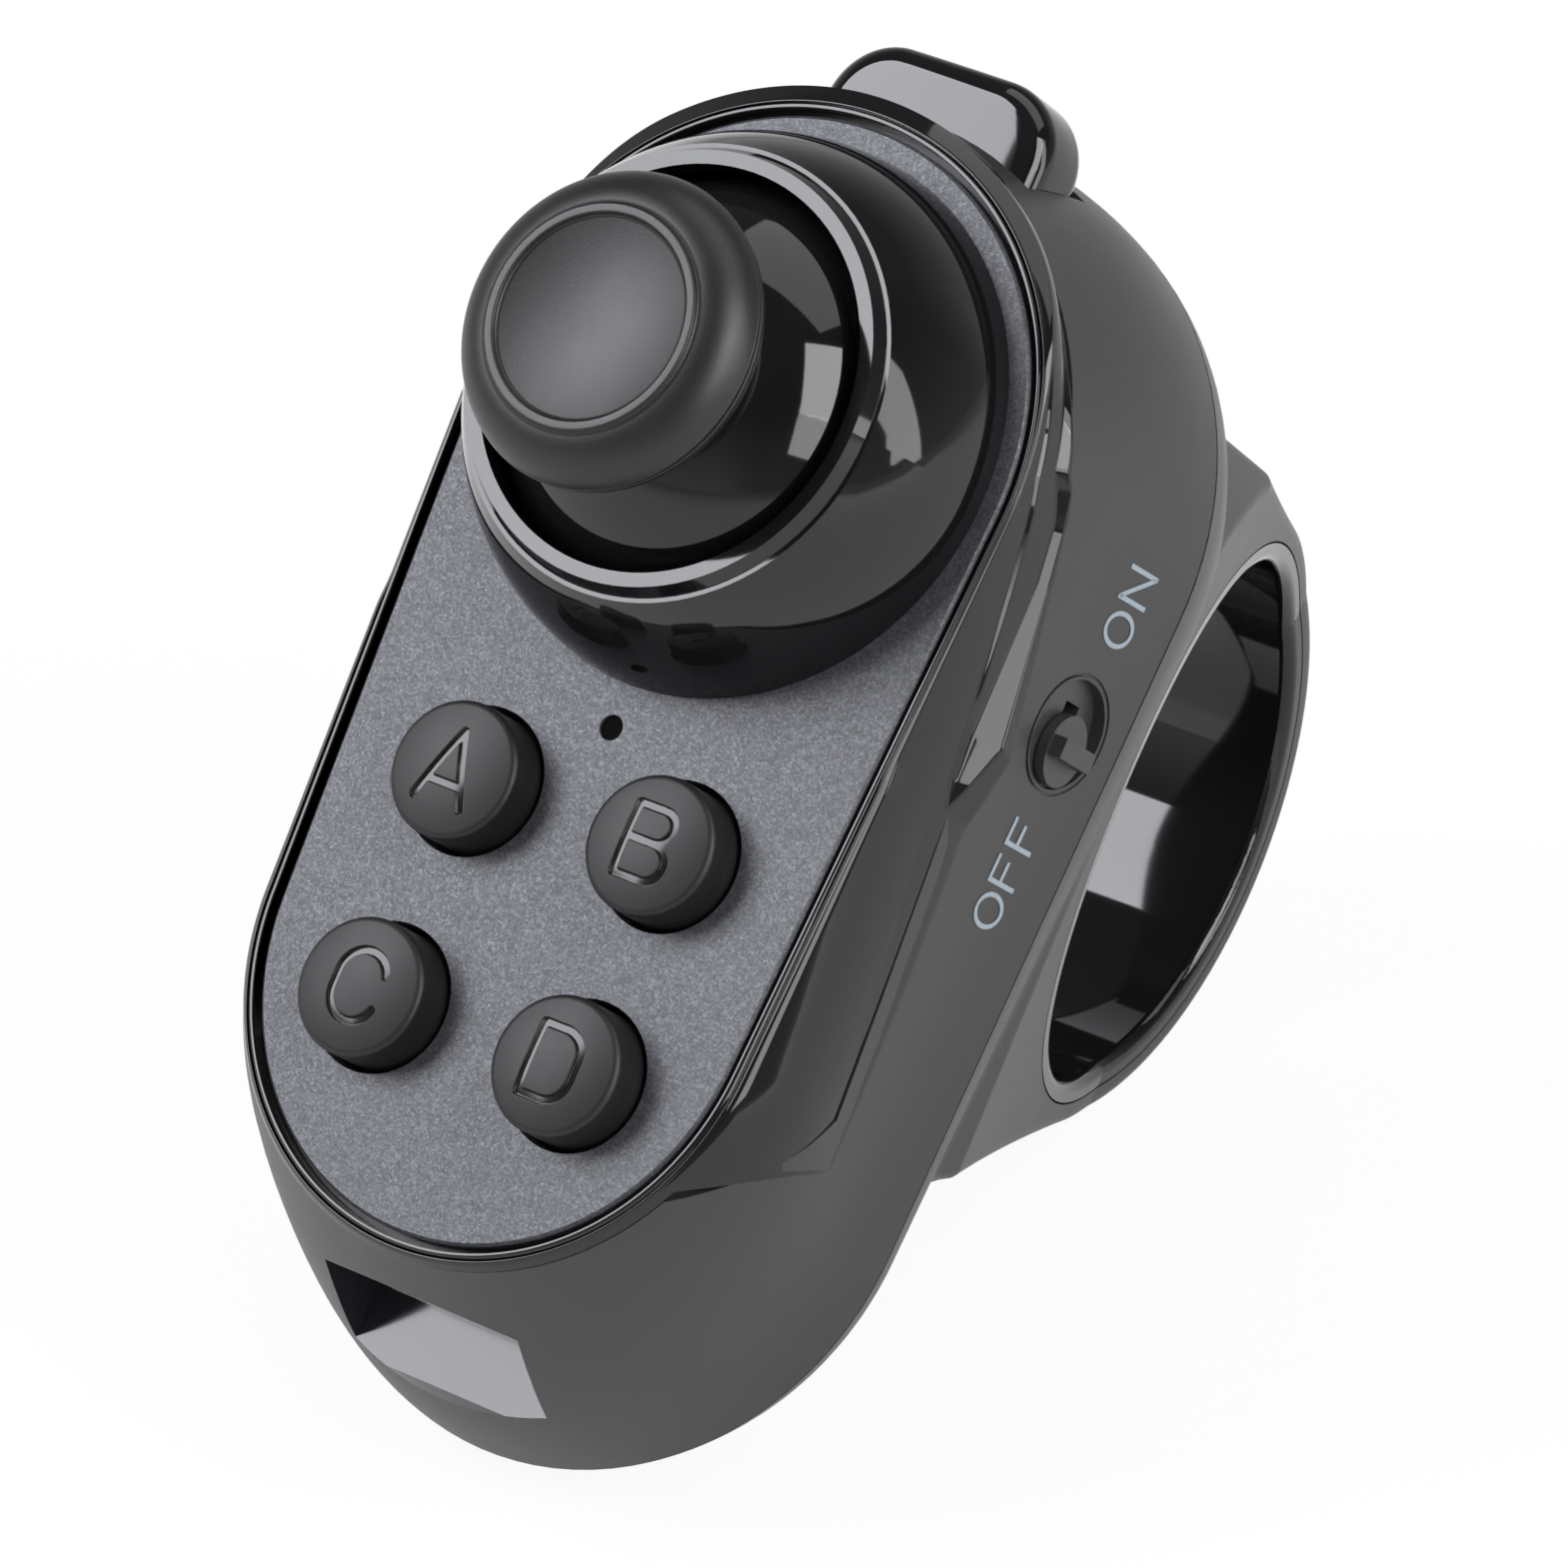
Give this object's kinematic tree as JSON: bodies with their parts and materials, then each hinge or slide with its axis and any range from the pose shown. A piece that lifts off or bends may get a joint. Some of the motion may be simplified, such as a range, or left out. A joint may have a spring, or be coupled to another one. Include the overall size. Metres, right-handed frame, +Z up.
{
  "type": "game controller",
  "caption": "One-hand wireless game controller worn on a finger: thumb stick in a domed collar, face buttons, trigger, slide switch and a moulded finger ring.",
  "frame": {"origin": "centre of the bounding box in plan, on the table the controller lies on", "axes": "+X towards the slide switch, +Y from the nose to the trigger, +Z up; the face is tipped about X as the controller lies on its finger ring and its nose"},
  "size_m": [0.0332, 0.0638, 0.0596],
  "materials": {
    "plate_film": "dark metallic speckle",
    "gloss_black": "polished black",
    "satin_shell": "satin",
    "soft_black": "soft matte",
    "steel": "plain",
    "inner_plastic": "plain",
    "clear_pipe": "clear",
    "board_green": "solder mask",
    "chip_black": "moulded",
    "cell_foil": "foil pouch",
    "foam": "foam tape",
    "wire": "insulated wire"
  },
  "bodies": {
    "root": {"trim_bezel": "gloss_black", "face_plate": "plate_film", "front_shell": "satin_shell", "rear_shell": "satin_shell", "ring_liner": "gloss_black", "stick_tower": "gloss_black", "stick_frame": "inner_plastic", "tilt_sensor_x": "inner_plastic", "tilt_sensor_y": "inner_plastic", "centering_disc": "inner_plastic", "centering_spring": "steel", "push_switches": "inner_plastic", "light_pipe": "clear_pipe", "power_led": "clear_pipe", "main_board": "board_green", "radio_chip": "chip_black", "crystal_can": "steel", "charging_chip": "chip_black", "charging_port": "steel", "battery_cell": "cell_foil", "battery_pad": "foam", "battery_leads": "wire", "trigger_switch": "inner_plastic", "slide_switch": "inner_plastic", "housing_screws": "steel", "board_screws": "steel"},
    "stick_rocker": {"lower_bow": "inner_plastic", "stick_pin": "steel"},
    "stick": {"stick_cap": "soft_black", "stick_dome": "gloss_black", "stick_shaft": "steel"},
    "upper_bow": {"upper_bow": "inner_plastic"},
    "trigger": {"trigger_button": "gloss_black", "trigger_plunger": "inner_plastic"},
    "power_slider": {"power_slider": "satin_shell"},
    "button_a": {"button_a": "soft_black", "plunger_a": "inner_plastic"},
    "button_b": {"button_b": "soft_black", "plunger_b": "inner_plastic"},
    "button_c": {"button_c": "soft_black", "plunger_c": "inner_plastic"},
    "button_d": {"button_d": "soft_black", "plunger_d": "inner_plastic"}
  },
  "joints": [
    {"name": "stick_tilt_fore_aft", "type": "hinge", "parent": "root", "child": "stick_rocker", "pos_m": [-0.00007, -0.00321, 0.0444], "axis": [1, 0, 0], "range_deg": [-16, 16], "stiffness_Nm_per_rad": 0.02},
    {"name": "stick_tilt_side", "type": "hinge", "parent": "stick_rocker", "child": "stick", "pos_m": [-0.00007, -0.00321, 0.0444], "axis": [0, 0.6956, 0.7184], "range_deg": [-16, 16], "stiffness_Nm_per_rad": 0.02},
    {"name": "upper_bow_tilt", "type": "hinge", "parent": "root", "child": "upper_bow", "pos_m": [-0.00007, -0.00321, 0.0444], "axis": [0, 0.6956, 0.7184], "range_deg": [-17, 17]},
    {"name": "button_a_press", "type": "slide", "parent": "root", "child": "button_a", "axis": [0, 0.7184, -0.6956], "range_m": [0, 0.0008], "stiffness_N_per_m": 400, "springref_m": -0.0005},
    {"name": "button_b_press", "type": "slide", "parent": "root", "child": "button_b", "axis": [0, 0.7184, -0.6956], "range_m": [0, 0.0008], "stiffness_N_per_m": 400, "springref_m": -0.0005},
    {"name": "button_c_press", "type": "slide", "parent": "root", "child": "button_c", "axis": [0, 0.7184, -0.6956], "range_m": [0, 0.0008], "stiffness_N_per_m": 400, "springref_m": -0.0005},
    {"name": "button_d_press", "type": "slide", "parent": "root", "child": "button_d", "axis": [0, 0.7184, -0.6956], "range_m": [0, 0.0008], "stiffness_N_per_m": 400, "springref_m": -0.0005},
    {"name": "trigger_press", "type": "slide", "parent": "root", "child": "trigger", "axis": [0, -0.6956, -0.7184], "range_m": [0, 0.001], "stiffness_N_per_m": 500, "springref_m": -0.0005},
    {"name": "power_slide", "type": "slide", "parent": "root", "child": "power_slider", "axis": [0, 0.6956, 0.7184], "range_m": [0, 0.0015]}
  ],
  "couplings": [
    {"joint": "upper_bow_tilt", "follows": "stick_tilt_side", "ratio": 1}
  ]
}
